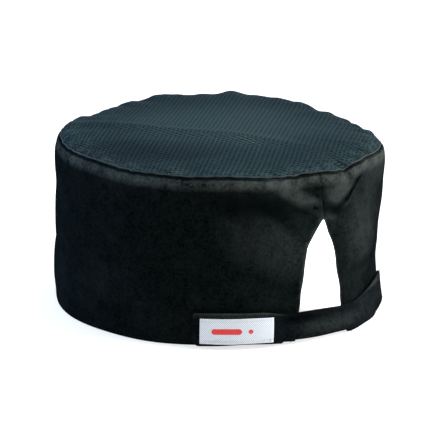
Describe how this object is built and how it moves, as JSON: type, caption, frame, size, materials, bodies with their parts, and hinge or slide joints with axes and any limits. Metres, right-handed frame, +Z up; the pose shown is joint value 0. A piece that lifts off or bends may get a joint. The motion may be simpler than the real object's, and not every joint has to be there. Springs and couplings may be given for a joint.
{
  "type": "chef skull cap",
  "caption": "Low round chef's skull cap with a flat mesh crown, a stiff side band, a pointed rear opening and a hook-and-loop strap with a plain woven label.",
  "frame": {"origin": "middle of the head opening, on the plane of the hem", "axes": "+Z up through the crown, -Y the way the wearer looks, +Y through the rear opening, +X the wearer's left"},
  "size_m": [0.1908, 0.195, 0.1015],
  "materials": {
    "side_twill": "matte twill weave",
    "crown_mesh": "matte knitted mesh with small round eyelets",
    "strap_twill": "matte twill weave",
    "interfacing": "matte non-woven",
    "facing_cotton": "matte plain weave",
    "sweatband_cotton": "soft terry",
    "seam_tape": "matte woven tape",
    "loop_pile": "napped loop pile",
    "hook_pile": "stiff woven hooks",
    "woven_label": "satin weave with a plain red bar",
    "care_label": "smooth satin, blank",
    "black_thread": "twisted thread",
    "label_thread": "twisted thread"
  },
  "bodies": {
    "cap": {"crown_panel": "crown_mesh", "side_band": "side_twill", "band_interfacing": "interfacing", "opening_facing": "facing_cotton", "sweatband": "sweatband_cotton", "crown_seam_tape": "seam_tape", "care_label": "care_label", "loop_tape": "loop_pile", "strap_sewn_end": "strap_twill", "hem_stitches": "black_thread", "opening_stitches": "black_thread", "bartack": "black_thread", "loop_tape_stitches": "black_thread", "anchor_stitches": "black_thread", "sweatband_stitches": "label_thread", "seam_tape_stitches": "black_thread"},
    "strap": {"strap_arm": "strap_twill", "arm_core": "interfacing", "arm_edge_stitches": "black_thread"},
    "tab": {"strap_tab": "strap_twill", "tab_core": "interfacing", "hook_tape": "hook_pile", "hook_tape_stitches": "black_thread", "woven_label": "woven_label", "label_stitches": "label_thread", "tab_edge_stitches": "black_thread"}
  },
  "joints": [
    {"name": "strap_swing", "type": "hinge", "parent": "cap", "child": "strap", "pos_m": [-0.06523, 0.07179, 0.0106], "axis": [0, 0, 1], "range_deg": [0, 100]},
    {"name": "tab_peel", "type": "hinge", "parent": "strap", "child": "tab", "pos_m": [0.02734, 0.09546, 0.0106], "axis": [0, 0, 1], "range_deg": [0, 120]}
  ]
}
